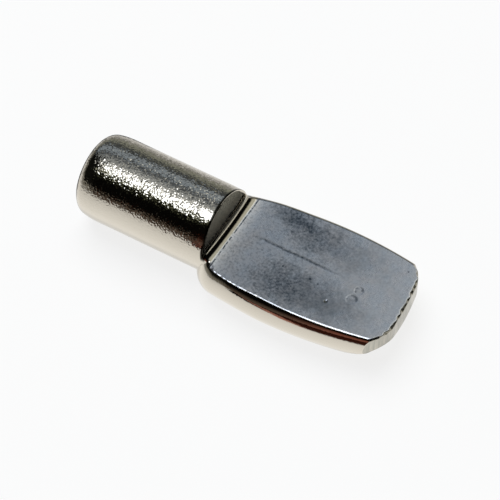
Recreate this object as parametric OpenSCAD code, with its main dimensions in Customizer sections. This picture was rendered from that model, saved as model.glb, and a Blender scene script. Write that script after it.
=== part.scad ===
/* [Shank] */
// Diameter of the shank that goes into the drilled hole
shank_d = 5; // [4:0.1:7]
// Length of the shank in its hole, from the panel's face to its free end
shank_len = 7.7; // [5:0.1:14]
// Rounding of the free end's rim
nose_r = 0.85; // [0.2:0.05:1.5]
// How far the shoulder stands off from the panel's face
shoulder_x = 0.8; // [0.7:0.05:2]
// How much thinner the shank is at the shoulder than in its hole
neck_thin = 0.04; // [0.02:0.01:0.1]
// Length over which the round shank dies away under the seat
runout_len = 3.5; // [1:0.1:5]
// How much thinner the shank is at the end of the runout than in its hole
runout_thin = 0.9; // [0.6:0.1:1.6]

/* [Seat] */
// Length of the seat, from the shoulder to its tip
seat_len = 10.85; // [8:0.05:15]
// Height of the flat above the shank's axis
flat_h = 0.27; // [0:0.01:0.4]
// Backward lean of the shoulder, in degrees
shoulder_lean = 8; // [0:0.5:20]
// Fillet in the corner between the shoulder and the flat
crease_r = 0.4; // [0.1:0.05:0.8]
// How far the seat is turned from the shank's line, seen from above, in degrees
seat_yaw = 2; // [-3:0.5:3]

/* [Blank] */
// Radius of the bulged side walls, as a share of the shank's radius
rim_share = 0.6; // [0.58:0.01:0.7]
// Height of the squeezed wire's underside above the shank's, at the shoulder
under_rise = 0.07; // [0.02:0.01:0.2]
// Rise of the squeezed wire towards its tip, in degrees
blank_tilt = 1.8; // [0.5:0.1:2.5]
// Distance from the shoulder to the widest place
bow_x = 4.9; // [4:0.1:8]
// Half width at the widest place, between the walls' centre lines
bow_half_w = 2.1; // [1.6:0.01:3]
// Radius of each bowed side, along the wall's centre line
bow_r = 24; // [14:0.5:30]
// How far inside the wall's centre line each rounded root corner has its axis
root_in = 0.6; // [0.3:0.1:1.5]
// How much fuller the root corners are than the side walls
root_swell = 0.05; // [0.03:0.01:0.1]
// Distance from the shoulder to the start of the rounded root corner on the right
right_start = 1.2; // [0.9:0.1:2]
// Distance from the shoulder to the start of the rounded root corner on the left
left_start = 1.1; // [0.9:0.1:2]

/* [Tip] */
// Thickness at the very tip, from the flat to the underside
tip_t = 1.3; // [1:0.05:2]
// Distance from the shoulder to the lowest point of the underside's sweep
sweep_x = 3.5; // [2:0.1:6]
// Depth of that lowest point below the squeezed wire, so that the two surfaces cross
sweep_drop = 0.15; // [0.1:0.05:0.3]
// How much rounder the swept underside's long edges are than the side walls
keel_swell = 0.4; // [0.3:0.05:0.8]
// How far in from the side walls' centre lines that rounding starts
keel_in = 0.2; // [0.1:0.05:0.3]
// Radius of the slightly bowed end face, seen from above
end_r = 25; // [10:1:60]
// How far the end face is off square to the seat's line, in degrees
end_skew = 2; // [-4:0.5:4]
// Half width of the end face, out to its clipped corners
end_half_w = 2; // [1.4:0.05:2.6]
// Angle of the clipped corners to the seat's line, in degrees
clip_angle = 45; // [30:1:60]
// Rounding between the end face and each clipped corner
clip_r = 1.4; // [0.4:0.1:2]

/* [Hidden] */
fine = 96;
steel = "#b9b8b4";
// Size of the tools that cut the blank, past the whole part each way
reach = 2 * (shank_len + shoulder_x + seat_len);
shank_r = shank_d / 2;
// The bulge's radius, half the thickness of the squeezed wire, and the depth of
// the side walls' centre lines below the shank's axis
rim_r = rim_share * shank_r;
rim_drop = shank_r - under_rise - rim_r;
// Radius of the root corners' bulge
corner_rim = rim_r + root_swell;
// Half section of the swept underside: its level middle and its long edges
keel_r = rim_r + keel_swell;
keel_half_w = bow_half_w - keel_in;
// The tip's lower edge in the tilted blank, and the radius that sweeps up to it
tip_z = flat_h - tip_t + rim_drop;
tip_along = seat_len * cos(blank_tilt) + tip_z * sin(blank_tilt) - sweep_x;
tip_rise = rim_r + sweep_drop + tip_z * cos(blank_tilt) - seat_len * sin(blank_tilt);
sweep_r = (tip_along * tip_along + tip_rise * tip_rise) / (2 * tip_rise);

// Distance of a side wall's centre line from the middle, at x
function bow_y(x) = bow_half_w - bow_r + sqrt(bow_r * bow_r - (x - bow_x) * (x - bow_x));
// Distance of a root corner's own axis from the middle
function corner_y(x) = bow_y(x) - root_in;

// A plane region between two rays from the origin, the first along +X and the
// second turned from it by angle, with the corner between them rounded by r
module rounded_wedge(angle, r) {
  along = r / tan(angle / 2);
  second = [cos(angle), sin(angle)];
  middle = [cos(angle / 2), sin(angle / 2)];
  polygon([[along, 0], [reach, 0], 2 * reach * middle, reach * second, along * second]);
  translate([along, r]) circle(r, $fn = fine);
}

// Half of the shank's lengthwise section: the nose, the wall that fits the hole,
// the neck up to the shoulder and the runout under the seat
module shank_profile() {
  polygon([
    [0, -shank_len],
    [shank_r - nose_r, -shank_len],
    [shank_r, nose_r - shank_len],
    [shank_r, 0],
    [shank_r - neck_thin / 2, shoulder_x],
    [shank_r - runout_thin / 2, shoulder_x + runout_len],
    [0, shoulder_x + runout_len]
  ]);
  intersection() {
    translate([shank_r - nose_r, nose_r - shank_len]) circle(nose_r, $fn = fine);
    translate([0, -shank_len]) square([shank_r, shank_len]);
  }
}

// The round wire, along X with its free end at -X and the panel's face at X = 0
module shank() {
  rotate([0, 90, 0]) rotate_extrude($fn = fine) shank_profile();
}

// A disc with a bulged rim, about Z: rim is the bulge's radius, and centre_r the
// radius of the circle that its centre runs round
module bulged_disc(centre_r, rim) {
  rotate_extrude($fn = 4 * fine) {
    translate([0, -rim]) square([centre_r, 2 * rim]);
    intersection() {
      translate([centre_r, 0]) circle(rim, $fn = fine);
      translate([centre_r, -rim]) square([rim, 2 * rim]);
    }
  }
}

// All that lies inside one bowed and bulged side wall
module bowed_side() {
  translate([bow_x, bow_half_w - bow_r, 0]) bulged_disc(bow_r, rim_r);
}

// Plan of what runs on from the root corners' axes to the tip
module root_plan() {
  polygon([
    [reach, reach],
    [left_start, reach],
    [left_start, corner_y(left_start)],
    [right_start, -corner_y(right_start)],
    [right_start, -reach],
    [reach, -reach]
  ]);
}

// The rounded root edge, from one root corner's axis to the other's
module root_edge() {
  from = [right_start, -corner_y(right_start)];
  span = [left_start, corner_y(left_start)] - from;
  edge_r = rim_r + root_swell / 2;
  translate([from[0], from[1], 0]) rotate([0, 0, atan2(span[1], span[0])])
    rotate([0, 90, 0]) cylinder(norm(span), edge_r, edge_r, $fn = fine);
}

// The wire squeezed out to its full width, level and of even thickness
module squeezed_wire() {
  intersection() {
    bowed_side();
    mirror([0, 1, 0]) bowed_side();
    linear_extrude(reach, center = true) root_plan();
  }
  root_edge();
  translate([left_start, corner_y(left_start), 0]) bulged_disc(root_in - root_swell, corner_rim);
  translate([right_start, -corner_y(right_start), 0]) bulged_disc(root_in - root_swell, corner_rim);
}

// Half section of the sweep's wheel, which rounds the underside's long edges
module keel_section() {
  translate([0, -keel_half_w]) square([sweep_r, 2 * keel_half_w]);
  translate([0, -keel_half_w - keel_r]) square([sweep_r - keel_r, 2 * (keel_half_w + keel_r)]);
  for (side = [-1, 1]) translate([sweep_r - keel_r, side * keel_half_w]) circle(keel_r, $fn = fine);
}

// What the underside's upward sweep keeps of the squeezed wire: all of it up to
// sweep_x, and then a wheel's rim that climbs towards the tip
module sweep_keep() {
  translate([-reach + sweep_x, -reach, -reach]) cube([reach, 2 * reach, 2 * reach]);
  translate([sweep_x, 0, sweep_r - rim_r - sweep_drop]) rotate([90, 0, 0])
    rotate_extrude($fn = 4 * fine) keel_section();
}

// The squeezed wire with its underside swept up towards the tip
module blank() {
  translate([0, 0, -rim_drop]) rotate([0, -blank_tilt, 0]) intersection() {
    squeezed_wire();
    sweep_keep();
  }
}

// Plan of what the end trim keeps: a slightly bowed end with clipped corners
module end_plan() {
  translate([seat_len, 0]) rotate(end_skew) intersection() {
    translate([-end_r, 0]) circle(end_r, $fn = 4 * fine);
    translate([0, end_half_w]) rotate(90 + clip_angle) rounded_wedge(180 - clip_angle, clip_r);
    translate([0, -end_half_w]) rotate(90) rounded_wedge(180 - clip_angle, clip_r);
  }
}

// What the forging die clears away above the flat and ahead of the shoulder
module seat_cut() {
  translate([0, 0, flat_h]) rotate([90, 0, 0]) linear_extrude(reach, center = true)
    rounded_wedge(90 + shoulder_lean, crease_r);
}

// The seat as trimmed from the blank, with the foot of the shoulder at X = 0
module seat() {
  rotate([0, 0, seat_yaw]) intersection() {
    blank();
    linear_extrude(reach, center = true) end_plan();
  }
}

module support_pin() {
  color(steel) difference() {
    union() {
      shank();
      translate([shoulder_x, 0, 0]) seat();
    }
    translate([shoulder_x, 0, 0]) seat_cut();
  }
}

support_pin();
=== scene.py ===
# Shelf support pin: a round plated shank and a flat, squeezed seat, in one skin.
import math
import bpy
import numpy as np
from mathutils import Matrix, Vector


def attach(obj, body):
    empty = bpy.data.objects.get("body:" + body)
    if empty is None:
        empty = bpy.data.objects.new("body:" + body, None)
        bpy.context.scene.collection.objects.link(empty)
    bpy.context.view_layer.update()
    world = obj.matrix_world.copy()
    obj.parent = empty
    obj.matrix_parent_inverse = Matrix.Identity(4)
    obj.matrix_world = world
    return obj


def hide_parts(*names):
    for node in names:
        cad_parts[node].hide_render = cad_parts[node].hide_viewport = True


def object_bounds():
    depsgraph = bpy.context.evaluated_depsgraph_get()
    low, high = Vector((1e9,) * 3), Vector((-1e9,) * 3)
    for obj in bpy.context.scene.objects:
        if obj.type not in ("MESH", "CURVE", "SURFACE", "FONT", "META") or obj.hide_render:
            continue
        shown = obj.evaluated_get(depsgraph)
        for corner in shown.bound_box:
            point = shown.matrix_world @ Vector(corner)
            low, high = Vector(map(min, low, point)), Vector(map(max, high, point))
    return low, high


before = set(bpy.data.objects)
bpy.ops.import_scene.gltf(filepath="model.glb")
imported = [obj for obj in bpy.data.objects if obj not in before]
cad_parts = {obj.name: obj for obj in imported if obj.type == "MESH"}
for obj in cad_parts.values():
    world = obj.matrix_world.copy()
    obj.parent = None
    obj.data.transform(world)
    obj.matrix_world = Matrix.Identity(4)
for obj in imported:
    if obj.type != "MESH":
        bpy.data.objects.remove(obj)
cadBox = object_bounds()
print("frame loaded")


# shape in millimetres: +X to the seat's tip, +Z out of the flat
shankLook = {
    "radius": 2.5, "freeEnd": -7.7, "noseRound": 0.6, "noseFrom": -6.2, "noseThin": 0.26,
    "neckThin": 0.02, "runoutThin": 0.45, "runoutLength": 3.5,
    # how far the hollow between shank and seat is filled: below runoutUnder, and above it
    "runoutBlend": 0.5, "runoutUnder": -1.8, "rootBlend": 0.05,
    # a pinch on the near side: place, length and depth, then where it fades in by -y and by z
    "pinchAt": 0.65, "pinchLong": 0.35, "pinchDeep": 0.02, "pinchSide": (0.4, 1.9), "pinchUp": (-0.9, 0.3),
}
seatLook = {
    "shoulderAt": 0.8, "length": 10.85, "yaw": 2.0, "flatHeight": 0.27,
    # what the die clears: the shoulder, the crease, and the faint ridge beside it
    "clearedTo": 0.87, "shoulderLean": 8.0, "shoulderBow": 0.0125,
    "creaseRound": 0.52, "creaseLift": 0.05, "creaseReach": 0.45, "ridgeShare": 0.95,
    # rounded edges: the shoulder's, and the flat's near and far ones; the near one grows to the tip
    "shoulderRim": 0.04, "rimFrom": (0.6, 1.2), "flatEdgeNear": 0.06, "flatEdgeFar": 0.1,
    "flatEdgeGrowth": 0.9, "growthFrom": (5.5, 9.0), "edgeWave": 0.55, "edgeCalm": 0.35, "calmFrom": (2, 5),
    # the squeezed wire: its bulged wall, how deep its middle lies, and its tilt in degrees
    "bulge": 1.5, "wallDrop": 0.93, "tilt": 1.8, "bowAt": 4.9, "bowHalfWidth": 2.098, "bowRadius": 24.0,
    # its root corners: where they start, how square they are, and how the near one leans and rolls
    "rootNear": 0.7, "rootFar": -0.2, "squareNear": 2.1, "squareFar": 3.0, "leanNear": 0.15,
    "rootRise": 0.1, "riseTo": (1.5, 4.0), "rootRoll": 0.16, "rollAt": 0.85, "rollSpan": (0.5, 0.9),
    # the underside's sweep up to the tip, and how its long edges lift
    "sweepAt": 3.5, "sweepDrop": 0.15, "tipThickness": 1.3, "lensRise": 0.55, "lensHalf": 2.4,
    "underBlend": 0.2,
    # the trimmed end and its clipped corners
    "endRadius": 25.0, "endSkew": 2.0, "endHalfNear": 2.0, "endHalfFar": 2.17, "clipRound": 0.45,
    "endEdge": 0.02, "endBevel": 0.11,
}
gridLook = {
    "noseRows": 34, "shankRows": 66, "shoulderRows": 76, "flatRows": 110, "tipRows": 44, "endRows": 26,
    "topColumns": 96, "underColumns": 150,
    # rays to the nose and the end face start this deep inside, the latter on a shrunk outline
    "noseDeep": 1.6, "endDeep": 0.8, "endShrink": 0.8,
    # shoulder rows run from ahead of the shoulder to past its foot; tip rows fill the last tipLong
    "ahead": 0.1, "past": 0.55, "tipLong": 3.45,
    # a section's middle drops from the shank's axis into the seat, then rises to the tip
    "middleDrop": 1.02, "dropSpan": (-3, 0.4), "middleRise": 0.62, "riseSpan": (5, 11.8),
    # half-width and half-height of the rough ellipse that spreads the lower rays
    "seatWide": 3.2, "seatHigh": 1.35, "seatSpan": (-1, 1.5), "tipHigh": 0.75, "tipSpan": (6, 12),
    # least angle from straight up to the upper rays' edge, on the seat and on the bare shank,
    # how much rays gather at the edges there, and where the shank is bare
    "topAngle": 8, "bareAngle": 58, "gather": 0.72, "bareGather": 0.22, "bareSpan": (-2.6, 0.45),
    # further from a section's middle than any skin
    "outside": 5.0,
}


def roundedMax(a, b, r):
    # the larger of two distances, with the edge where they meet rounded by r
    return np.hypot(np.maximum(a + r, 0), np.maximum(b + r, 0)) + np.minimum(np.maximum(a, b) + r, 0) - r


def roundedMin(a, b, r):
    # the smaller of two distances, with the inner corner filled by r
    return -roundedMax(-a, -b, r)


def ease(x, low, high):
    # 0 below low, 1 above high, smooth between
    t = np.clip((x - low) / (high - low), 0, 1)
    return t * t * (3 - 2 * t)


def turnBy(a, b, degrees):
    # a point's two coordinates, in axes turned by an angle
    angle = math.radians(degrees)
    return a * math.cos(angle) + b * math.sin(angle), b * math.cos(angle) - a * math.sin(angle)


def shankDistance(x, y, z):
    # distance from a round bar: its radius against x, its free end rounded over
    s = shankLook
    start = seatLook["shoulderAt"]
    radius = np.interp(x, [0, start, start + s["runoutLength"]],
                       [s["radius"], s["radius"] - s["neckThin"], s["radius"] - s["runoutThin"]])
    radius = radius - s["noseThin"] * (np.maximum(s["noseFrom"] - x, 0) / (s["noseFrom"] - s["freeEnd"])) ** 2
    # pinched by the die on its near side, just before the shoulder
    pinch = np.exp(-((x - s["pinchAt"]) / s["pinchLong"]) ** 2)
    pinch = pinch * ease(-y, *s["pinchSide"]) * ease(z, *s["pinchUp"])
    radius = radius - s["pinchDeep"] * pinch
    bar = roundedMax(np.hypot(y, z) - radius, s["freeEnd"] - x, s["noseRound"])
    return np.maximum(bar, x - start - s["runoutLength"])


def seatPlace(x, y):
    # row coordinates turned into the seat's own, which start at the shoulder's foot
    return turnBy(x - seatLook["shoulderAt"], y, seatLook["yaw"])


def underHeight(x, y):
    # height of the underside in the wire's own tilted frame: level, then a parabola
    # up to the tip, with its long edges lifted more and more towards the tip
    s = seatLook
    tipZ = s["flatHeight"] - s["tipThickness"] + s["wallDrop"]
    tipAlong, tipHeight = turnBy(s["length"], tipZ, s["tilt"])
    run = np.maximum(x - s["sweepAt"], 0) / (tipAlong - s["sweepAt"])
    low = s["bulge"] + s["sweepDrop"]
    return -low + (tipHeight + low) * run ** 2 + s["lensRise"] * run ** 6 * (np.abs(y) / s["lensHalf"]) ** 2


def wireDistance(x, y, z):
    # distance from the squeezed wire: the plan of its centre line is two bowed
    # sides and a root edge, and the bulged wall stands round that plan
    s = seatLook
    u, v = seatPlace(x, y)
    u, h = turnBy(u, z + s["wallDrop"], s["tilt"])
    bowCentre = s["bowHalfWidth"] - s["bowRadius"]
    sides = np.hypot(u - s["bowAt"], np.abs(v) - bowCentre) - s["bowRadius"]
    near = v < 0
    root = np.where(near, s["rootNear"] + s["leanNear"] * h, s["rootFar"]) - u
    square = np.where(near, s["squareNear"], s["squareFar"])
    plan = (np.maximum(sides, 0) ** square + np.maximum(root, 0) ** square) ** (1 / square)
    wall = np.hypot(plan, h - s["rootRise"] * (1 - ease(u, *s["riseTo"]))) - s["bulge"]
    return roundedMax(wall, underHeight(u, v) - h, s["underBlend"])


def cutDistance(x, y, z):
    # how far a point lies in what the die clears: above the flat and past the shoulder
    s = seatLook
    lean = math.radians(s["shoulderLean"])
    # the flat rises a hair to a faint ridge where the crease starts
    ridge = s["clearedTo"] + s["ridgeShare"] * s["creaseRound"]
    up = z - s["flatHeight"] - s["creaseLift"] * np.exp(-np.maximum(x - ridge, 0) / s["creaseReach"])
    shoulder = (x - s["clearedTo"] + s["shoulderBow"] * y ** 2) * math.cos(lean) + up * math.sin(lean)
    return roundedMin(shoulder, up, s["creaseRound"])


def endDistance(x, y):
    # how far a point lies past the trimmed end: a slightly bowed face, two clipped corners
    s = seatLook
    u, v = seatPlace(x, y)
    u, v = turnBy(u - s["length"], v, s["endSkew"])
    face = np.hypot(u + s["endRadius"], v) - s["endRadius"]
    clip = (u + np.abs(v) - np.where(v > 0, s["endHalfFar"], s["endHalfNear"])) / math.sqrt(2)
    return roundedMax(face, clip, s["clipRound"])


def bodyDistance(x, y, z):
    # shank and squeezed wire in one, with the hollow between them filled a little
    k = shankLook
    fill = np.where(z < k["runoutUnder"], k["runoutBlend"], k["rootBlend"])
    both = roundedMin(shankDistance(x, y, z), wireDistance(x, y, z), fill)
    return np.maximum(both, -k["radius"] - z)


def skinDistance(x, y, z):
    # the whole pin: body, less what the die clears, less what the end trim takes
    s = seatLook
    # the near edge's rounding wavers, as two waves that beat, and less past the root
    wavy = s["edgeWave"] - s["edgeCalm"] * ease(x, *s["calmFrom"])
    wavy = wavy * np.sin(5.3 * x) * np.sin(13.7 * x + 0.7)
    nearEdge = s["flatEdgeNear"] * (1 + wavy + s["flatEdgeGrowth"] * ease(x, *s["growthFrom"]))
    edge = nearEdge + (s["flatEdgeFar"] - nearEdge) * ease(y, -0.5, 0.5)
    rim = edge + (s["shoulderRim"] - edge) * ease(z, *s["rimFrom"])
    # rolled over at the near root, where the wire's side runs under the shoulder
    rollX, rollZ = s["rollSpan"]
    fromRoot = np.hypot((x - s["rollAt"]) / rollX, (z - s["flatHeight"]) / rollZ)
    rim = rim + s["rootRoll"] * np.exp(-fromRoot ** 2) * ease(-y, 0.5, 1.5)
    cut, end = cutDistance(x, y, z), endDistance(x, y)
    formed = roundedMax(bodyDistance(x, y, z), cut, rim)
    # the trimmed edge, rolled over by the shear by an uneven amount: slow waves along it
    uneven = 1 + 0.5 * np.sin(3.1 * y + 1.0) * np.sin(7.3 * y) + 0.25 * np.sin(15.0 * y + 0.6)
    bevel = (z - s["flatHeight"] + end + s["endBevel"] * uneven) / math.sqrt(2)
    return roundedMax(roundedMax(formed, end, s["endEdge"]), bevel, s["endEdge"])


def crossing(test, low, high, steps=40):
    # halves the span until test changes sign there: test is below 0 at low
    low, high = np.broadcast_arrays(np.asarray(low, float), np.asarray(high, float))
    low, high = low.copy(), high.copy()
    for _ in range(steps):
        mid = (low + high) / 2
        inside = test(mid) < 0
        low, high = np.where(inside, mid, low), np.where(inside, high, mid)
    return (low + high) / 2


def sectionAngles(x, columns):
    # direction of each column round the middle of the section at x: the first columns
    # cross the flat between its two edges and the rest go round below on a rough ellipse,
    # both closest at the edges; on the plain shank they spread out in angle
    g, radius = gridLook, shankLook["radius"]
    middle = sectionMiddle(x)
    inside, outside = 0 * x, g["outside"] + 0 * x
    top = np.minimum(crossing(lambda z: cutDistance(x, 0, z), 0.1, radius + 0.1), radius - 0.01)
    left = crossing(lambda y: bodyDistance(x, y, top), inside, outside)
    right = -crossing(lambda y: bodyDistance(x, -y, top), inside, outside)
    bare = 1 - ease(x, *g["bareSpan"])
    least = np.radians(g["topAngle"] + (g["bareAngle"] - g["topAngle"]) * bare)
    leftAngle = np.minimum(np.arctan2(top - middle, left), np.pi / 2 - least)
    rightAngle = np.maximum(np.arctan2(top - middle, right), np.pi / 2 + least)
    share = np.where(columns < g["topColumns"], columns / g["topColumns"],
                     (columns - g["topColumns"]) / g["underColumns"])
    gather = g["gather"] + (g["bareGather"] - g["gather"]) * bare
    share = share - gather * np.sin(2 * np.pi * share) / (2 * np.pi)
    flatDirection = np.arctan2(1, 1 / np.tan(leftAngle) * (1 - share) + 1 / np.tan(rightAngle) * share)
    roundDirection = leftAngle * (1 - share) + rightAngle * share
    topDirection = flatDirection * (1 - bare) + roundDirection * bare
    onSeat, atTip = ease(x, *g["seatSpan"]), ease(x, *g["tipSpan"])
    wide = radius + (g["seatWide"] - radius) * onSeat
    high = radius + (g["seatHigh"] - radius) * onSeat + (g["tipHigh"] - g["seatHigh"]) * atTip
    a = np.arctan2(np.sin(rightAngle) / high, np.cos(rightAngle) / wide)
    b = np.arctan2(np.sin(leftAngle) / high, np.cos(leftAngle) / wide) + 2 * np.pi
    sweep = a * (1 - share) + b * share
    underDirection = np.arctan2(high * np.sin(sweep), wide * np.cos(sweep))
    return np.where(columns < g["topColumns"], topDirection, underDirection)


def sectionMiddle(x):
    # height of the section's middle, from the shank's axis down into the seat
    g = gridLook
    return g["middleRise"] * ease(x, *g["riseSpan"]) - g["middleDrop"] * ease(x, *g["dropSpan"])


def sectionPoint(x, columns):
    # where each column's ray leaves the untrimmed pin, in the plane of x
    angle = sectionAngles(x, columns)
    middle = sectionMiddle(x)

    def pastSkin(r):
        y, z = r * np.cos(angle), middle + r * np.sin(angle)
        return np.maximum(bodyDistance(x, y, z), cutDistance(x, y, z))

    reach = crossing(pastSkin, 0 * x, gridLook["outside"] + 0 * x)
    return reach * np.cos(angle), middle + reach * np.sin(angle)


def pinSkin():
    # a grid of rays, rows along the pin and columns round it; each point is where
    # its ray leaves the pin
    g, s, k = gridLook, seatLook, shankLook
    columns = np.arange(g["topColumns"] + g["underColumns"], dtype=float)[None, :]
    one = np.ones_like(columns)

    # nose: rays fan out from a point on the axis
    fanAt = k["freeEnd"] + g["noseDeep"]
    fan = np.linspace(np.pi / 2, 0, g["noseRows"], endpoint=False)[1:, None]
    around = sectionAngles(fanAt * one, columns)
    noseFrom = np.stack([fanAt * one + 0 * fan, 0 * fan * one, 0 * fan * one], -1)
    noseWay = np.stack([-np.sin(fan) * one, np.cos(fan) * np.cos(around), np.cos(fan) * np.sin(around)], -1)

    # body rows: closest at the shoulder, spread by a sine on the shank and a power on the flat
    foot, tipEnd = s["clearedTo"], s["shoulderAt"] + s["length"]
    tipAt, pastTip = tipEnd - g["tipLong"], tipEnd + 1
    head = foot - math.tan(math.radians(s["shoulderLean"])) * (k["radius"] - s["flatHeight"])
    ahead, past = head - g["ahead"], foot + g["past"]
    stops = np.concatenate([
        fanAt + (ahead - fanAt) * np.sin(np.linspace(0, np.pi / 2, g["shankRows"], endpoint=False)),
        np.linspace(ahead, past, g["shoulderRows"], endpoint=False),
        past + (tipAt - past) * np.linspace(0, 1, g["flatRows"], endpoint=False) ** 1.25,
    ])[:, None] * one
    bodyY, bodyZ = sectionPoint(stops, columns)
    bodyFrom = np.stack([stops, 0 * stops, sectionMiddle(stops)], -1)
    bodyWay = np.stack([stops, bodyY, bodyZ], -1) - bodyFrom

    # tip rows: they end on the line where the end trim meets the skin
    def pastEnd(x):
        y, _ = sectionPoint(x, columns)
        return endDistance(x, y)

    edgeX = crossing(pastEnd, tipAt * one, pastTip * one)
    edgeY, edgeZ = sectionPoint(edgeX, columns)
    middleZ = s["flatHeight"] - s["tipThickness"] / 2
    near = (1 - (1 - np.linspace(0, 1, g["tipRows"])) ** 2.2)[:, None]
    tipX = tipAt * one * (1 - near) + edgeX * near
    tipY, tipZ = sectionPoint(tipX, columns)
    # their rays start on the section's middle, and turn into the end face's rays
    lean = near ** 3
    fromZ = sectionMiddle(tipX) * (1 - lean) + middleZ * lean
    tipFrom = np.stack([tipX - g["endDeep"] * lean, g["endShrink"] * tipY * lean, fromZ], -1)
    tipWay = np.stack([tipX, tipY, tipZ], -1) - tipFrom

    # end face: rings that shrink from that line to a point in its middle
    t = (np.linspace(0, 1, g["endRows"] + 1)[1:-1] ** 2)[:, None]
    faceY, faceZ = edgeY * (1 - t), edgeZ * (1 - t) + middleZ * t
    faceX = crossing(lambda x: endDistance(x, faceY), tipAt + 0 * faceY, pastTip + 0 * faceY)
    faceFrom = np.stack([faceX - g["endDeep"], g["endShrink"] * faceY, middleZ + 0 * faceY], -1)
    faceWay = np.stack([faceX, faceY, faceZ], -1) - faceFrom

    start = np.concatenate([noseFrom, bodyFrom, tipFrom, faceFrom])
    way = np.concatenate([noseWay, bodyWay, tipWay, faceWay])
    way = way / np.linalg.norm(way, axis=-1, keepdims=True)
    reach = crossing(lambda r: skinDistance(*np.moveaxis(start + way * r[..., None], -1, 0)),
                     np.zeros(way.shape[:2]), np.full(way.shape[:2], g["outside"]))
    grid = start + way * reach[..., None]
    nosePole = np.array([k["freeEnd"], 0, 0])
    endX = crossing(lambda x: endDistance(x, 0 * x), tipAt, pastTip)
    endPole = np.array([float(endX), 0, middleZ])
    return grid, nosePole, endPole


def gridMesh(name, grid, firstPole, lastPole):
    # rows and columns to quads, the last column joined to the first, a pole at each end
    rows, cols, _ = grid.shape
    points = np.concatenate([grid.reshape(-1, 3), [firstPole], [lastPole]]) / 1000
    a = np.arange(cols)
    b = (a + 1) % cols
    lift = np.arange(rows - 1)[:, None] * cols
    quads = np.stack([lift + a, lift + b, lift + cols + b, lift + cols + a], -1).reshape(-1, 4)
    last = (rows - 1) * cols
    caps = np.concatenate([np.stack([b, a, np.full(cols, rows * cols)], -1),
                           np.stack([last + a, last + b, np.full(cols, rows * cols + 1)], -1)])
    loops = np.concatenate([quads.ravel(), caps.ravel()])
    starts = np.concatenate([np.arange(len(quads)) * 4, len(quads) * 4 + np.arange(len(caps)) * 3])
    mesh = bpy.data.meshes.new(name)
    mesh.vertices.add(len(points))
    mesh.vertices.foreach_set("co", points.astype(np.float32).ravel())
    mesh.loops.add(len(loops))
    mesh.loops.foreach_set("vertex_index", loops.astype(np.int32))
    mesh.polygons.add(len(starts))
    mesh.polygons.foreach_set("loop_start", starts.astype(np.int32))
    mesh.update(calc_edges=True)
    mesh.polygons.foreach_set("use_smooth", np.ones(len(starts), bool))
    mesh.validate()
    return mesh


pinObject = bpy.data.objects.new("pinSkin", gridMesh("pinSkin", *pinSkin()))
bpy.context.scene.collection.objects.link(pinObject)
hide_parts("support_pin")
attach(pinObject, "root")
print("pin skin made,", len(pinObject.data.polygons), "faces")


def toLinear(hexColour):
    # sRGB hex to the linear colour that a node takes
    parts = [int(hexColour[i:i + 2], 16) / 255 for i in (1, 3, 5)]
    return [c / 12.92 if c <= 0.04045 else ((c + 0.055) / 1.055) ** 2.4 for c in parts] + [1]


def addNode(tree, kind, settings=None, links=None):
    # one node: settings are its own properties or its inputs' values; links are its inputs'
    # sources, each a socket, or a node that stands for its first output
    node = tree.nodes.new(kind)
    for key, value in (settings or {}).items():
        if isinstance(key, str) and hasattr(node, key):
            setattr(node, key, value)
        else:
            node.inputs[key].default_value = value
    for key, source in (links or {}).items():
        socket = source.outputs[0] if isinstance(source, bpy.types.Node) else source
        tree.links.new(socket, node.inputs[key])
    return node


def emptyTree(owner):
    # the node tree of a new material or world, emptied
    owner.use_nodes = True
    owner.node_tree.nodes.clear()
    return owner.node_tree


def setStops(ramp, stops, whole):
    # a ramp's colours from pairs of place and hex, where the last place is whole
    elements = ramp.color_ramp.elements
    while len(elements) < len(stops):
        elements.new(0.5)
    for element, (at, colour) in zip(elements, stops):
        element.position = at / whole
        element.color = toLinear(colour)


nickelLook = {
    "colour": "#d9d2c4", "roughness": 0.07,
    # millimetres: the tumbled grain and its facets, both drawn about twice as coarse as real
    # ones so that they show; they fade out by x along the neck, and the facets by z
    "grain": 0.1, "grainDepth": 0.012, "wallDepth": 0.002, "neckSpan": (0.0, 0.8),
    "facet": 0.08, "facetTip": 0.95, "facetLow": 0.35, "rubbedSpan": (0.9, 2.2),
    # the coined flat: where it starts by x and by z, its tints, and its roughness, which varies
    "flatFrom": (1.2, 1.28), "flatAbove": (0.22, 0.262),
    "flatBlue": "#d6dfe8", "flatPink": "#e6dfdc", "flatStainAndShade": "#565f68",
    "flatRoughness": 0.28, "flatSmooth": 0.85, "flatRough": 1.2,
    # sizes of its press marks, clouds and mottle, which fades along x
    "pressGrain": 0.35, "pressDepth": 0.005, "cloud": 1.5, "cloudStain": 0.2,
    "mottle": 0.15, "mottleStain": 0.75, "mottleTip": 0.3, "mottleSpan": (4.5, 8.5),
    # how far the patches' edges stray; scales, here and below, are in features per millimetre
    "ragged": 1.2, "raggedScale": 1.6, "tintScale": 1.4,
    # the painted shade line at the die's cut, a dark band for the dark the rim mirrors: its width,
    # how much wider it is low down, and its soft edge
    "cutShadeColour": "#2c2a24", "cutShadeWidth": 0.16, "cutShadeLow": 0.12, "cutShadeLowSpan": (1.5, 0.7), "cutShadeSoft": 0.08,
    # the sheared end, which lies past endFrom; a streak is as long as its width over streakShare
    "endFrom": 8.6, "endColour": "#a6a69c", "endRoughness": 0.3, "streakScale": 6.0, "streakShare": 0.12,
}
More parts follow.
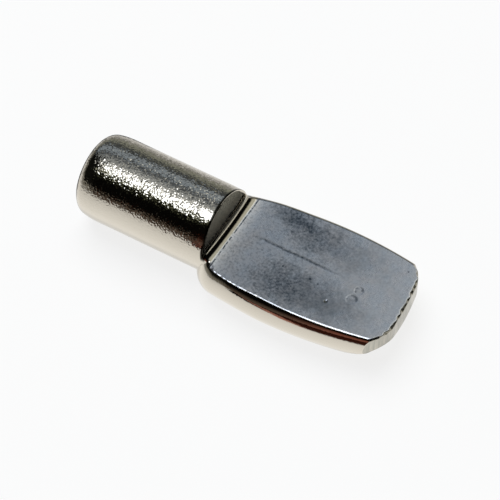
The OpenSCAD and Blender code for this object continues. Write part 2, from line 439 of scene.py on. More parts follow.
# marks on the flat, in millimetres from the panel's face; a depth is how far each is sunk
# and a stain how dark it is; the seam's and the rings' dark is painted shade in their hollows
markLook = {
    "seam": {"across": 0.42, "wander": 0.25, "wanderScale": 0.77, "from": 2.2, "to": 8.4,
             "fadeIn": 1.0, "fadeOut": 2.8, "width": 0.15, "depth": 0.008, "stainAndShade": 0.7},
    # x, y, span along, span across, stain
    "patches": [(6.9, -1.6, 3.4, 1.5, 0.55), (4.9, -0.6, 1.8, 0.9, 0.22), (3.7, 2.65, 2.0, 0.85, 0.6),
                (4.4, -1.9, 2.2, 0.9, 0.25), (4.9, 1.9, 2.2, 1.1, 0.28), (6.8, 1.9, 3.2, 1.5, 0.3)],
    # x, y, radius
    "rings": [(8.93, -0.62, 0.28), (9.0, 0.07, 0.23)],
    # each ring is a shallow dent whose dark rim is painted shade, broken into parts by noise
    "ringDepth": 0.006, "ringPaintedShade": 0.55, "ringBreakScale": 3.0,
    "dots": [(9.15, 0.14, 0.09), (6.36, -0.58, 0.1), (4.68, -0.56, 0.08), (3.17, -0.21, 0.07),
             (6.89, -0.65, 0.07), (10.7, 2.5, 0.08)], "dotStain": 0.6,
    "glint": (7.8, -1.42, 0.14), "glintDepth": 0.045, "glintRoughness": 0.12,
    # the broken line: its x, its half-width, and the scale of its breaks
    "dashesAt": 1.32, "dashHalf": 0.05, "breakScale": 2.9,
}


def nickelPlate():
    # bright nickel plate over tumbled steel: a warm mirror whose grain breaks up the
    # edges of bright bands; on the coined flat the same plate is satin and cloudy, with
    # a seam and small dents, both darkened with painted shade, and stains; painted shade
    # also lines the die's cut on the shank; the sheared end is duller and streaked
    look, marks = nickelLook, markLook
    material = bpy.data.materials.new("nickelPlateOverSteel")
    tree = emptyTree(material)
    metres = addNode(tree, "ShaderNodeTexCoord").outputs["Object"]
    place = addNode(tree, "ShaderNodeVectorMath", {"operation": "SCALE", "Scale": 1000}, {0: metres})
    x, y, z = addNode(tree, "ShaderNodeSeparateXYZ", None, {0: place}).outputs

    # where the finish changes: the coined flat, and the sheared end, whose face looks along +X
    flatFrom, flatWhole = look["flatFrom"]
    pastCrease = addNode(tree, "ShaderNodeMapRange", {
        "interpolation_type": "SMOOTHSTEP", "From Min": flatFrom, "From Max": flatWhole}, {"Value": x})
    flatAbove, flatTop = look["flatAbove"]
    onTop = addNode(tree, "ShaderNodeMapRange", {
        "interpolation_type": "SMOOTHSTEP", "From Min": flatAbove, "From Max": flatTop}, {"Value": z})
    flat = addNode(tree, "ShaderNodeMath", {"operation": "MULTIPLY"}, {0: pastCrease, 1: onTop})
    geometry = addNode(tree, "ShaderNodeNewGeometry")
    facing = addNode(tree, "ShaderNodeSeparateXYZ", None, {0: geometry.outputs["True Normal"]})
    endwards = addNode(tree, "ShaderNodeMapRange", {
        "interpolation_type": "SMOOTHSTEP", "From Min": 0.5, "From Max": 0.8}, {"Value": facing})
    atTip = addNode(tree, "ShaderNodeMath", {"operation": "GREATER_THAN", 1: look["endFrom"]}, {0: x})
    end = addNode(tree, "ShaderNodeMath", {"operation": "MULTIPLY"}, {0: endwards, 1: atTip})

    # the seam: a thin lap along the flat, wandering a little; its dark is painted shade in its groove
    seam = marks["seam"]
    wander = addNode(tree, "ShaderNodeTexNoise", {
        "Scale": seam["wanderScale"], "Detail": 2.0}, {"Vector": place})
    seamLine = addNode(tree, "ShaderNodeMath", {
        "operation": "MULTIPLY_ADD", 1: seam["wander"], 2: -seam["across"] - seam["wander"] / 2}, {0: wander})
    offSeam = addNode(tree, "ShaderNodeMath", {"operation": "ADD"}, {0: y, 1: seamLine})
    offSeam = addNode(tree, "ShaderNodeMath", {"operation": "ABSOLUTE"}, {0: offSeam})
    onSeam = addNode(tree, "ShaderNodeMapRange", {
        "interpolation_type": "SMOOTHSTEP", "From Min": seam["width"], "From Max": 0.0}, {"Value": offSeam})
    seamStart = addNode(tree, "ShaderNodeMapRange", {
        "interpolation_type": "SMOOTHSTEP", "From Min": seam["from"],
        "From Max": seam["from"] + seam["fadeIn"]}, {"Value": x})
    seamStop = addNode(tree, "ShaderNodeMapRange", {
        "interpolation_type": "SMOOTHSTEP", "From Min": seam["to"],
        "From Max": seam["to"] - seam["fadeOut"]}, {"Value": x})
    seamLong = addNode(tree, "ShaderNodeMath", {"operation": "MULTIPLY"}, {0: seamStart, 1: seamStop})
    groove = addNode(tree, "ShaderNodeMath", {"operation": "MULTIPLY"}, {0: onSeam, 1: seamLong})

    # distance to the nearest ring mark and the nearest dot, each in its own radii
    onFlat = addNode(tree, "ShaderNodeVectorMath", {"operation": "MULTIPLY", 1: (1, 1, 0)}, {0: place})
    nearest = {}
    for kind in ("rings", "dots"):
        for markX, markY, radius in marks[kind]:
            gap = addNode(tree, "ShaderNodeVectorMath", {
                "operation": "DISTANCE", 1: (markX, markY, 0)}, {0: onFlat})
            gap = addNode(tree, "ShaderNodeMath", {
                "operation": "DIVIDE", 1: radius}, {0: gap.outputs["Value"]})
            if kind in nearest:
                gap = addNode(tree, "ShaderNodeMath", {"operation": "MINIMUM"}, {0: nearest[kind], 1: gap})
            nearest[kind] = gap
    glintX, glintY, glintRadius = marks["glint"]
    gap = addNode(tree, "ShaderNodeVectorMath", {
        "operation": "DISTANCE", 1: (glintX, glintY, 0)}, {0: onFlat})
    glint = addNode(tree, "ShaderNodeMapRange", {
        "interpolation_type": "SMOOTHSTEP", "From Min": glintRadius, "From Max": 0.0},
        {"Value": gap.outputs["Value"]})
    # a dot is full inside 0.4 of its radius; a ring of painted shade on a dent's wall peaks at 0.9 of its own
    dot = addNode(tree, "ShaderNodeMapRange", {
        "interpolation_type": "SMOOTHSTEP", "From Min": 1.0, "From Max": 0.4}, {"Value": nearest["dots"]})
    inRing = addNode(tree, "ShaderNodeMapRange", {
        "interpolation_type": "SMOOTHSTEP", "From Min": 1.3, "From Max": 0.9}, {"Value": nearest["rings"]})
    outRing = addNode(tree, "ShaderNodeMapRange", {
        "interpolation_type": "SMOOTHSTEP", "From Min": 0.45, "From Max": 0.9}, {"Value": nearest["rings"]})
    ringShade = addNode(tree, "ShaderNodeMath", {"operation": "MULTIPLY"}, {0: inRing, 1: outRing})
    # noise leaves only parts of each ring of painted shade
    ringBreakNoise = addNode(tree, "ShaderNodeTexNoise", {
        "Scale": marks["ringBreakScale"], "Detail": 1.0}, {"Vector": place})
    ringKept = addNode(tree, "ShaderNodeMapRange", {
        "interpolation_type": "SMOOTHSTEP", "From Min": 0.5, "From Max": 0.58}, {"Value": ringBreakNoise})
    ringShade = addNode(tree, "ShaderNodeMath", {"operation": "MULTIPLY"}, {0: ringShade, 1: ringKept})

    # stains: soft clouds, patches with ragged edges, and a fine mottle that fades to the tip
    cloud = addNode(tree, "ShaderNodeTexNoise", {
        "Scale": 1 / look["cloud"], "Detail": 4.0, "Roughness": 0.6}, {"Vector": place})
    stainAndShade = addNode(tree, "ShaderNodeMapRange", {
        "interpolation_type": "SMOOTHSTEP", "From Min": 0.42, "From Max": 0.75,
        "To Max": look["cloudStain"]}, {"Value": cloud})
    ragged = addNode(tree, "ShaderNodeTexNoise", {
        "Scale": look["raggedScale"], "Detail": 5.0, "Roughness": 0.7}, {"Vector": place})
    reach = look["ragged"]
    ragged = addNode(tree, "ShaderNodeVectorMath", {
        "operation": "MULTIPLY_ADD", 1: (2 * reach, 2 * reach, 0), 2: (-reach, -reach, 0)},
        {0: ragged.outputs["Color"]})
    ragged = addNode(tree, "ShaderNodeVectorMath", {"operation": "ADD"}, {0: ragged, 1: onFlat})
    for patchX, patchY, spanX, spanY, strength in marks["patches"]:
        shifted = addNode(tree, "ShaderNodeVectorMath", {
            "operation": "MULTIPLY_ADD", 1: (1 / spanX, 1 / spanY, 0),
            2: (-patchX / spanX, -patchY / spanY, 0)}, {0: ragged})
        gap = addNode(tree, "ShaderNodeVectorMath", {"operation": "LENGTH"}, {0: shifted})
        patch = addNode(tree, "ShaderNodeMapRange", {
            "interpolation_type": "SMOOTHSTEP", "From Min": 1.25, "From Max": 0.2, "To Max": strength},
            {"Value": gap.outputs["Value"]})
        stainAndShade = addNode(tree, "ShaderNodeMath", {"operation": "ADD"}, {0: stainAndShade, 1: patch})
    mottle = addNode(tree, "ShaderNodeTexNoise", {
        "Scale": 1 / look["mottle"], "Detail": 3.0, "Roughness": 0.65}, {"Vector": place})
    mottle = addNode(tree, "ShaderNodeMapRange", {
        "From Min": 0.3, "From Max": 0.7, "To Min": -0.5, "To Max": 0.5}, {"Value": mottle})
    start, stop = look["mottleSpan"]
    mottling = addNode(tree, "ShaderNodeMapRange", {
        "interpolation_type": "SMOOTHSTEP", "From Min": start, "From Max": stop,
        "To Min": look["mottleStain"], "To Max": look["mottleTip"]}, {"Value": x})
    stainAndShade = addNode(tree, "ShaderNodeMath", {"operation": "MULTIPLY_ADD"}, {0: mottle, 1: mottling, 2: stainAndShade})
    # the broken line beside the crease
    dashes = addNode(tree, "ShaderNodeMath", {"operation": "SUBTRACT", 1: marks["dashesAt"]}, {0: x})
    dashes = addNode(tree, "ShaderNodeMath", {"operation": "ABSOLUTE"}, {0: dashes})
    dashes = addNode(tree, "ShaderNodeMapRange", {
        "interpolation_type": "SMOOTHSTEP", "From Min": marks["dashHalf"],
        "From Max": 0.3 * marks["dashHalf"]}, {"Value": dashes})
    breaks = addNode(tree, "ShaderNodeTexNoise", {
        "Scale": marks["breakScale"], "Detail": 1.0}, {"Vector": place})
    breaks = addNode(tree, "ShaderNodeMapRange", {
        "interpolation_type": "SMOOTHSTEP", "From Min": 0.42, "From Max": 0.52}, {"Value": breaks})
    stainAndShade = addNode(tree, "ShaderNodeMath", {"operation": "MULTIPLY_ADD"}, {0: dashes, 1: breaks, 2: stainAndShade})
    # painted shade on the dents' rims and in the seam's groove darkens it, and so do the dots
    for mark, dark in ((ringShade, marks["ringPaintedShade"]), (dot, marks["dotStain"]), (groove, seam["stainAndShade"])):
        stainAndShade = addNode(tree, "ShaderNodeMath", {"operation": "MULTIPLY_ADD", 1: dark}, {0: mark, 2: stainAndShade})
    stainAndShade.use_clamp = True

    # relief in metres: the tumbled grain, left on the shank and squeezed smooth on the seat
    grain = addNode(tree, "ShaderNodeTexNoise", {
        "Scale": 1 / look["grain"], "Detail": 0.6, "Roughness": 0.5}, {"Vector": place})
    neckFrom, neckTo = look["neckSpan"]
    depth = addNode(tree, "ShaderNodeMapRange", {
        "From Min": neckFrom, "From Max": neckTo, "To Min": look["grainDepth"] / 1000,
        "To Max": look["wallDepth"] / 1000}, {"Value": x})
    wire = addNode(tree, "ShaderNodeMath", {"operation": "MULTIPLY"}, {0: grain, 1: depth})
    press = addNode(tree, "ShaderNodeTexNoise", {
        "Scale": 1 / look["pressGrain"], "Detail": 4.0, "Roughness": 0.6}, {"Vector": place})
    press = addNode(tree, "ShaderNodeMath", {
        "operation": "MULTIPLY", 1: look["pressDepth"] / 1000}, {0: press})
    sunk = ((groove, seam["depth"]), (inRing, marks["ringDepth"]), (glint, marks["glintDepth"]))
    for mark, deep in sunk:
        press = addNode(tree, "ShaderNodeMath", {
            "operation": "MULTIPLY_ADD", 1: -deep / 1000}, {0: mark, 2: press})
    height = addNode(tree, "ShaderNodeMix", {"data_type": "FLOAT"}, {"Factor": flat, "A": wire, "B": press})
    # tumbling leaves small facets, each tipped its own way: most a little, a few a lot, as
    # the cube of a random vector that is even over each cell; lower down they are rubbed
    facets = addNode(tree, "ShaderNodeTexVoronoi", {"Scale": 1 / look["facet"]}, {"Vector": place})
    tip = addNode(tree, "ShaderNodeVectorMath", {
        "operation": "SUBTRACT", 1: (0.5, 0.5, 0.5)}, {0: facets.outputs["Color"]})
    squared = addNode(tree, "ShaderNodeVectorMath", {"operation": "MULTIPLY"}, {0: tip, 1: tip})
    tip = addNode(tree, "ShaderNodeVectorMath", {"operation": "MULTIPLY"}, {0: squared, 1: tip})
    facetTip = addNode(tree, "ShaderNodeMapRange", {
        "From Min": neckFrom, "From Max": neckTo, "To Min": look["facetTip"], "To Max": 0.0}, {"Value": x})
    start, stop = look["rubbedSpan"]
    rubbed = addNode(tree, "ShaderNodeMapRange", {
        "interpolation_type": "SMOOTHSTEP", "From Min": start, "From Max": stop,
        "To Min": look["facetLow"]}, {"Value": z})
    facetTip = addNode(tree, "ShaderNodeMath", {"operation": "MULTIPLY"}, {0: facetTip, 1: rubbed})
    tip = addNode(tree, "ShaderNodeVectorMath", {"operation": "SCALE"}, {0: tip, "Scale": facetTip})
    tipped = addNode(tree, "ShaderNodeVectorMath", {"operation": "ADD"}, {
        0: tip, 1: geometry.outputs["Normal"]})
    tipped = addNode(tree, "ShaderNodeVectorMath", {"operation": "NORMALIZE"}, {0: tipped})
    bump = addNode(tree, "ShaderNodeBump", {"Strength": 1.0, "Distance": 1.0}, {
        "Height": height, "Normal": tipped})

    # colours: nickel, and the flat's two tints under its stains and painted shade
    tintShare = addNode(tree, "ShaderNodeTexNoise", {
        "Scale": look["tintScale"], "Detail": 2.0}, {"Vector": place})
    tint = addNode(tree, "ShaderNodeMix", {
        "data_type": "RGBA", 6: toLinear(look["flatBlue"]), 7: toLinear(look["flatPink"])}, {0: tintShare})
    stainedAndShaded = addNode(tree, "ShaderNodeMix", {
        "data_type": "RGBA", 7: toLinear(look["flatStainAndShade"])}, {0: stainAndShade, 6: tint.outputs[2]})
    colour = addNode(tree, "ShaderNodeMix", {
        "data_type": "RGBA", 6: toLinear(look["colour"])}, {0: flat, 7: stainedAndShaded.outputs[2]})
    # painted shade: a dark line on the shank along the die's cut, standing in for the dark
    # the rim mirrors; shown by the distance past the cut's plane, above the flat, and on walls;
    # on the near side it takes in the rounded rim
    lean = math.radians(seatLook["shoulderLean"])
    cutAt = seatLook["clearedTo"] * math.cos(lean) + seatLook["flatHeight"] * math.sin(lean)
    pastCut = addNode(tree, "ShaderNodeVectorMath", {
        "operation": "DOT_PRODUCT", 1: (math.cos(lean), 0, math.sin(lean))}, {0: place}).outputs["Value"]
    # the painted shade is wider low down, where it darkens a red-brown reflection
    start, stop = look["cutShadeLowSpan"]
    widened = addNode(tree, "ShaderNodeMapRange", {
        "interpolation_type": "SMOOTHSTEP", "From Min": start, "From Max": stop,
        "To Max": look["cutShadeLow"]}, {"Value": z})
    widened = addNode(tree, "ShaderNodeMath", {"operation": "ADD"}, {0: widened, 1: pastCut})
    shadeFrom = cutAt - look["cutShadeWidth"]
    cutShade = addNode(tree, "ShaderNodeMapRange", {
        "interpolation_type": "SMOOTHSTEP", "From Min": shadeFrom, "From Max": shadeFrom + look["cutShadeSoft"]},
        {"Value": widened})
    aboveFlat = addNode(tree, "ShaderNodeMapRange", {
        "interpolation_type": "SMOOTHSTEP", "From Min": 0.1, "From Max": 0.4}, {"Value": z})
    rimShare = addNode(tree, "ShaderNodeMapRange", {
        "From Min": -0.3, "From Max": 0.3, "To Min": 0.96, "To Max": 0.6}, {"Value": y})
    onWall = addNode(tree, "ShaderNodeMath", {"operation": "LESS_THAN"}, {0: facing, 1: rimShare})
    beforeCut = addNode(tree, "ShaderNodeMath", {"operation": "LESS_THAN", 1: cutAt + 0.02}, {0: pastCut})
    for share in (aboveFlat, onWall, beforeCut):
        cutShade = addNode(tree, "ShaderNodeMath", {"operation": "MULTIPLY"}, {0: cutShade, 1: share})
    colour = addNode(tree, "ShaderNodeMix", {
        "data_type": "RGBA", 7: toLinear(look["cutShadeColour"])}, {0: cutShade, 6: colour.outputs[2]})
    # the end face is duller, with streaks down it: noise drawn out along Z
    drawn = addNode(tree, "ShaderNodeVectorMath", {
        "operation": "MULTIPLY", 1: (1, 1, look["streakShare"])}, {0: place})
    streaks = addNode(tree, "ShaderNodeTexNoise", {
        "Scale": look["streakScale"], "Detail": 3.0, "Roughness": 0.6}, {"Vector": drawn})
    streaks = addNode(tree, "ShaderNodeMapRange", {
        "interpolation_type": "SMOOTHSTEP", "From Min": 0.2, "From Max": 0.9}, {"Value": streaks})
    sheared = addNode(tree, "ShaderNodeMix", {
        "data_type": "RGBA", 6: toLinear(look["endColour"]), 7: toLinear(look["colour"])}, {0: streaks})
    colour = addNode(tree, "ShaderNodeMix", {"data_type": "RGBA"}, {
        0: end, 6: colour.outputs[2], 7: sheared.outputs[2]})

    # roughness: a mirror on the shank and walls, satin on the flat, duller on the end
    satin = addNode(tree, "ShaderNodeMapRange", {
        "From Min": 0.3, "From Max": 0.7, "To Min": look["flatRoughness"] * look["flatSmooth"],
        "To Max": look["flatRoughness"] * look["flatRough"]}, {"Value": cloud})
    satin = addNode(tree, "ShaderNodeMix", {
        "data_type": "FLOAT", "B": marks["glintRoughness"]}, {"Factor": glint, "A": satin})
    roughness = addNode(tree, "ShaderNodeMix", {
        "data_type": "FLOAT", "A": look["roughness"]}, {"Factor": flat, "B": satin})
    roughness = addNode(tree, "ShaderNodeMix", {
        "data_type": "FLOAT", "B": look["endRoughness"]}, {"Factor": end, "A": roughness})
    metal = addNode(tree, "ShaderNodeBsdfPrincipled", {"Metallic": 1.0}, {
        "Base Color": colour.outputs[2], "Roughness": roughness, "Normal": bump})
    addNode(tree, "ShaderNodeOutputMaterial", None, {"Surface": metal})
    return material


pinObject.data.materials.append(nickelPlate())
print("materials made")


stageLook = {
    "floorSize": 3.0, "floorColour": "#fcfcfa", "floorGlow": 0.8, "glowSpan": (60.0, 700.0),
    # how the metal mirrors the paper: strength against distance in millimetres from the
    # pin's line, which runs pinHalf to each side of pinMiddle
    "mirrorGlow": 1.3, "mirrorPower": -0.207, "pinMiddle": 2.0, "pinHalf": 9.0,
    # how much is left right under the pin, past its free end, and behind it
    "underPin": 0.72, "underSpan": (2.2, 3.4), "darkSide": 0.5, "sideSpan": (-50, -18),
    "darkBack": 0.55, "backSpan": (3.0, 24.0),
    # how much is left in the pin's own shadow: its middle, and its inner and outer radius
    "inShadow": 0.1, "shadowAt": (-11.5, 3.5, -2.5), "shadowSpan": (4.0, 6.0),
    # the table edge in front: its soft line across, which draws nearer along slopeSpan by
    # tableSlope, where it starts, its length, and its colours by millimetres along the pin
    "edgeSpan": (-9.0, -12.0), "tableSlope": 12.0, "slopeSpan": (3.0, 9.0), "slant": 0.42,
    "startSpan": (1.8, 3.8), "tableLong": 14.0,
    "table": [(0, "#0a0605"), (7.0, "#0e0806"), (8.4, "#c08a7c"), (10.4, "#a87466"), (11.6, "#3e1e16")],
}


def paleFloor():
    # plain matt paper: lights and the pin's shadow fall on it, over an even pale base
    look = stageLook
    half = look["floorSize"] / 2
    low = cadBox[0][2]
    corners = [(-half, -half, low), (half, -half, low), (half, half, low), (-half, half, low)]
    mesh = bpy.data.meshes.new("floor")
    mesh.from_pydata(corners, [], [(0, 1, 2, 3)])
    floor = bpy.data.objects.new("floor", mesh)
    bpy.context.scene.collection.objects.link(floor)
    material = bpy.data.materials.new("mattPaper")
    tree = emptyTree(material)
    paper = addNode(tree, "ShaderNodeBsdfDiffuse", {"Color": toLinear(look["floorColour"])})
    metres = addNode(tree, "ShaderNodeTexCoord").outputs["Object"]
    place = addNode(tree, "ShaderNodeVectorMath", {"operation": "SCALE", "Scale": 1000}, {0: metres})
    x, y, _ = addNode(tree, "ShaderNodeSeparateXYZ", None, {0: place}).outputs

    # mirrored in metal, the paper dims away from the pin: strength is a small power of
    # the distance from the pin's own line
    along = addNode(tree, "ShaderNodeMath", {"operation": "SUBTRACT", 1: look["pinMiddle"]}, {0: x})
    along = addNode(tree, "ShaderNodeMath", {"operation": "ABSOLUTE"}, {0: along})
    along = addNode(tree, "ShaderNodeMath", {"operation": "SUBTRACT", 1: look["pinHalf"]}, {0: along})
    along = addNode(tree, "ShaderNodeMath", {"operation": "MAXIMUM", 1: 0.0}, {0: along})
    offLine = addNode(tree, "ShaderNodeCombineXYZ", None, {"X": along, "Y": y})
    offLine = addNode(tree, "ShaderNodeVectorMath", {"operation": "LENGTH"}, {0: offLine}).outputs["Value"]
    distance = addNode(tree, "ShaderNodeMath", {"operation": "MAXIMUM", 1: 1.0}, {0: offLine})
    dimming = addNode(tree, "ShaderNodeMath", {"operation": "POWER", 1: look["mirrorPower"]}, {0: distance})
    mirrored = addNode(tree, "ShaderNodeMath", {"operation": "MULTIPLY", 1: look["mirrorGlow"]}, {0: dimming})
    shadow = addNode(tree, "ShaderNodeVectorMath", {
        "operation": "DISTANCE", 1: look["shadowAt"]}, {0: place}).outputs["Value"]
    # less light falls under the pin, past its free end, in its shadow and behind it
    for source, fade, (start, stop), first, last in (
            (offLine, "SMOOTHSTEP", look["underSpan"], look["underPin"], 1.0),
            (x, "LINEAR", look["sideSpan"], look["darkSide"], 1.0),
            (shadow, "SMOOTHSTEP", look["shadowSpan"], look["inShadow"], 1.0),
            (y, "LINEAR", look["backSpan"], 1.0, look["darkBack"])):
        share = addNode(tree, "ShaderNodeMapRange", {
            "interpolation_type": fade, "From Min": start, "From Max": stop,
            "To Min": first, "To Max": last}, {"Value": source})
        mirrored = addNode(tree, "ShaderNodeMath", {"operation": "MULTIPLY"}, {0: mirrored, 1: share})
    # a dark red-brown table edge lies in front of the seat, seen only in the metal
    slanted = addNode(tree, "ShaderNodeMath", {"operation": "MULTIPLY_ADD", 1: -look["slant"]}, {0: y, 2: x})
    start, stop = look["slopeSpan"]
    slope = addNode(tree, "ShaderNodeMapRange", {
        "From Min": start, "From Max": stop, "To Min": look["tableSlope"], "To Max": 0.0},
        {"Value": slanted})
    fromEdge = addNode(tree, "ShaderNodeMath", {"operation": "ADD"}, {0: y, 1: slope})
    start, stop = look["edgeSpan"]
    front = addNode(tree, "ShaderNodeMapRange", {
        "interpolation_type": "SMOOTHSTEP", "From Min": start, "From Max": stop}, {"Value": fromEdge})
    start, stop = look["startSpan"]
    seatwards = addNode(tree, "ShaderNodeMapRange", {
        "interpolation_type": "SMOOTHSTEP", "From Min": start, "From Max": stop}, {"Value": slanted})
    table = addNode(tree, "ShaderNodeMath", {"operation": "MULTIPLY"}, {0: front, 1: seatwards})
    ray = addNode(tree, "ShaderNodeLightPath")
    table = addNode(tree, "ShaderNodeMath", {"operation": "MULTIPLY"}, {
        0: table, 1: ray.outputs["Is Glossy Ray"]})
    alongTable = addNode(tree, "ShaderNodeMath", {"operation": "DIVIDE", 1: look["tableLong"]}, {0: slanted})
    tableColour = addNode(tree, "ShaderNodeValToRGB", None, {"Fac": alongTable})
    setStops(tableColour, look["table"], look["tableLong"])
    tint = addNode(tree, "ShaderNodeMix", {
        "data_type": "RGBA", 6: (1, 1, 1, 1)}, {0: table, 7: tableColour})
    strength = addNode(tree, "ShaderNodeMix", {
        "data_type": "FLOAT", "B": 1.0}, {"Factor": ray.outputs["Is Camera Ray"], "A": mirrored})
    glow = addNode(tree, "ShaderNodeEmission", None, {"Color": tint.outputs[2], "Strength": strength})
    # far off, the paper runs into the white behind it
    start, stop = look["glowSpan"]
    glowing = addNode(tree, "ShaderNodeMapRange", {
        "From Min": start, "From Max": stop, "To Min": look["floorGlow"], "To Max": 1.0},
        {"Value": offLine})
    share = addNode(tree, "ShaderNodeMath", {"operation": "MULTIPLY_ADD"}, {
        0: ray.outputs["Is Camera Ray"], 1: glowing, 2: ray.outputs["Is Glossy Ray"]})
    share = addNode(tree, "ShaderNodeMath", {"operation": "ADD", "use_clamp": True}, {
        0: share, 1: ray.outputs["Is Transmission Ray"]})
    mix = addNode(tree, "ShaderNodeMixShader", None, {"Fac": share, 1: paper, 2: glow})
    addNode(tree, "ShaderNodeOutputMaterial", None, {"Surface": mix})
    mesh.materials.append(material)


paleFloor()


roomLook = {
    # degrees up from the horizon in front, over the top, to the horizon behind
    "left": [(0, "#5c5148"), (15, "#060505"), (48, "#060605"), (57, "#34362a"), (64, "#8c8e78"),
             (72, "#e0e2e0"), (84, "#e0e2e0"), (88, "#c8ccd0"), (100, "#949aa0"), (117, "#30343a"),
             (128, "#909caa"), (140, "#848e9a"), (146, "#404448"), (154, "#404446"), (176, "#94978e")],
    "right": [(0, "#86564a"), (17, "#34190f"), (28, "#0e0605"), (46, "#0a0a08"), (70, "#1c1c18"),
              (100, "#84867f"), (110, "#b8bcb8"), (134, "#c4c2b4"), (158, "#3c3c38"), (180, "#303030")],
    # degrees up from the horizon, at the two ends
    "lowLeft": [(0, "#8c8a82"), (8, "#6c6a64"), (15, "#121210"), (90, "#0c0c0c")],
    "lowRight": [(0, "#dcdcd4"), (6, "#d0d0c6"), (8.5, "#302c26"), (13, "#060606"), (90, "#0c0c0c")],
    # where one runs into the next, by the X of the direction; leftBehind moves the left end out
    "leftToRight": (-0.28, 0.0), "leftEnd": (-0.55, -0.4), "leftBehind": 0.9, "rightEnd": (0.6, 0.44),
    "lowSpan": (-0.1, 0.1),
}


def studioRoom():
    # the room that the metal mirrors: dark in front, a pale ceiling, a window's blue-grey
    # light behind on the left, and a bright horizon in the dark at the right; it is white
    # to the camera
    world = bpy.data.worlds.new("studioRoom")
    bpy.context.scene.world = world
    tree = emptyTree(world)
    way = addNode(tree, "ShaderNodeTexCoord").outputs["Generated"]
    x, y, z = addNode(tree, "ShaderNodeSeparateXYZ", None, {0: way}).outputs

    # angle over the top, and angle up from the horizon, each as a share of its range
    front = addNode(tree, "ShaderNodeMath", {"operation": "MULTIPLY", 1: -1.0}, {0: y})
    over = addNode(tree, "ShaderNodeMath", {"operation": "ARCTAN2"}, {0: z, 1: front})
    over = addNode(tree, "ShaderNodeMath", {"operation": "DIVIDE", 1: math.pi}, {0: over})
    rise = addNode(tree, "ShaderNodeMath", {"operation": "ARCSINE"}, {0: z})
    rise = addNode(tree, "ShaderNodeMath", {"operation": "DIVIDE", 1: math.pi / 2}, {0: rise})
    ramps = {}
    for name, turn, whole in (("left", over, 180), ("right", over, 180),
                              ("lowLeft", rise, 90), ("lowRight", rise, 90)):
        ramps[name] = addNode(tree, "ShaderNodeValToRGB", None, {"Fac": turn})
        setStops(ramps[name], roomLook[name], whole)

    # the two ends are darker: the left one starts further out behind than in front
    behind = addNode(tree, "ShaderNodeMath", {"operation": "MAXIMUM", 1: 0.0}, {0: y})
    leftness = addNode(tree, "ShaderNodeMath", {
        "operation": "MULTIPLY_ADD", 1: roomLook["leftBehind"]}, {0: behind, 2: x})
    shares = {}
    for name, source in (("leftToRight", x), ("leftEnd", leftness), ("rightEnd", x), ("lowSpan", x)):
        start, stop = roomLook[name]
        shares[name] = addNode(tree, "ShaderNodeMapRange", {
            "interpolation_type": "SMOOTHSTEP", "From Min": start, "From Max": stop}, {"Value": source})
    middle = addNode(tree, "ShaderNodeMix", {"data_type": "RGBA"}, {
        0: shares["leftToRight"], 6: ramps["left"], 7: ramps["right"]})
    ends = addNode(tree, "ShaderNodeMix", {"data_type": "RGBA"}, {
        0: shares["lowSpan"], 6: ramps["lowLeft"], 7: ramps["lowRight"]})
    lit = addNode(tree, "ShaderNodeMath", {"operation": "MULTIPLY"}, {
        0: shares["leftEnd"], 1: shares["rightEnd"]})
    colour = addNode(tree, "ShaderNodeMix", {"data_type": "RGBA"}, {
        0: lit, 6: ends.outputs[2], 7: middle.outputs[2]})
    room = addNode(tree, "ShaderNodeBackground", {"Strength": 1.0}, {"Color": colour.outputs[2]})
    white = addNode(tree, "ShaderNodeBackground", {"Color": (1, 1, 1, 1), "Strength": 1.0})
    ray = addNode(tree, "ShaderNodeLightPath")
    mix = addNode(tree, "ShaderNodeMixShader", None, {"Fac": ray.outputs["Is Camera Ray"], 1: room, 2: white})
    addNode(tree, "ShaderNodeOutputWorld", None, {"Surface": mix})


studioRoom()


lampLook = {
    # two that the metal mirrors, and a wide soft one for the paper and the pin's shadow; way
    # is the direction from lampAim, and distances and sizes are in metres
    "softbox": {"way": (-0.15, -0.25, 0.93), "distance": 0.5, "size": (0.21, 0.18), "radiance": 3.0,
                "colour": "#e6efff", "mirrored": True},
    "window": {"way": (-0.05, 0.53, 0.85), "distance": 0.5, "size": (0.15, 0.22), "radiance": 0.42,
               "colour": "#f7fbff", "mirrored": True},
    "overhead": {"way": (-0.35, 0.25, 0.9), "distance": 0.6, "size": (0.5, 0.5), "radiance": 3.7,
                 "colour": "#fcfdff", "mirrored": False},
}
lampAim = (0.002, 0, 0)


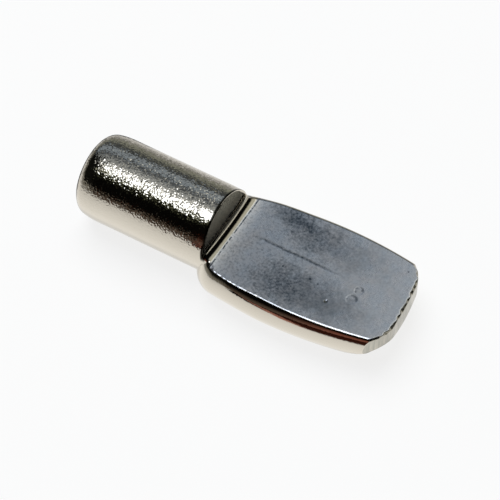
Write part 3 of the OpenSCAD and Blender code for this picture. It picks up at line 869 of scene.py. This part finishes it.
def setPlace(thing, right, up, back, place):
    # an object put at place, with its own X, Y and Z along right, up and back
    turned = np.eye(4)
    turned[:3, :3] = np.stack([right, up, back], 1)
    turned[:3, 3] = place
    thing.matrix_world = Matrix(turned.tolist())


def softLamp(name, look):
    # a rectangular soft lamp that faces the pin; its power is radiance times pi times area
    data = bpy.data.lights.new(name, "AREA")
    data.shape = "RECTANGLE"
    data.size, data.size_y = look["size"]
    data.energy = look["radiance"] * math.pi * data.size * data.size_y
    data.color = toLinear(look["colour"])[:3]
    lamp = bpy.data.objects.new(name, data)
    way = np.array(look["way"]) / np.linalg.norm(look["way"])
    across = np.cross([0, 1, 0], way)
    across = across / np.linalg.norm(across)
    setPlace(lamp, across, np.cross(way, across), way, way * look["distance"] + np.array(lampAim))
    lamp.visible_glossy = look["mirrored"]
    bpy.context.scene.collection.objects.link(lamp)


for name, look in lampLook.items():
    softLamp(name, look)
print("stage and lights made")


cameraLook = {
    # radians; scale is the shank's diameter in pixels of a render of renderWide, closeness is
    # that diameter over the distance, and aside and above are in diameters
    "turn": 0.5292, "rise": 0.9360, "scale": 91.8953, "closeness": 0.0361, "aside": -0.2592,
    "above": 0.1899, "sensor": 36, "renderWide": 500, "clip": (0.005, 20),
}


def placeCamera():
    # the camera looks down on the near side of the seat from the right
    look = cameraLook
    turn, rise = look["turn"], look["rise"]
    back = np.array([math.sin(turn) * math.cos(rise), -math.cos(turn) * math.cos(rise), math.sin(rise)])
    right = np.array([math.cos(turn), math.sin(turn), 0])
    up = np.cross(back, right)
    diameter = 2 * shankLook["radius"] / 1000
    place = diameter * (back / look["closeness"] - right * look["aside"] - up * look["above"])
    place = place + [seatLook["shoulderAt"] / 1000, 0, 0]
    data = bpy.data.cameras.new("camera")
    data.sensor_width = look["sensor"]
    data.lens = look["sensor"] * look["scale"] / look["closeness"] / look["renderWide"]
    data.clip_start, data.clip_end = look["clip"]
    camera = bpy.data.objects.new("camera", data)
    setPlace(camera, right, up, back, place)
    bpy.context.scene.collection.objects.link(camera)
    bpy.context.scene.camera = camera


placeCamera()
bpy.context.scene.view_settings.view_transform = "Standard"
print("camera placed")
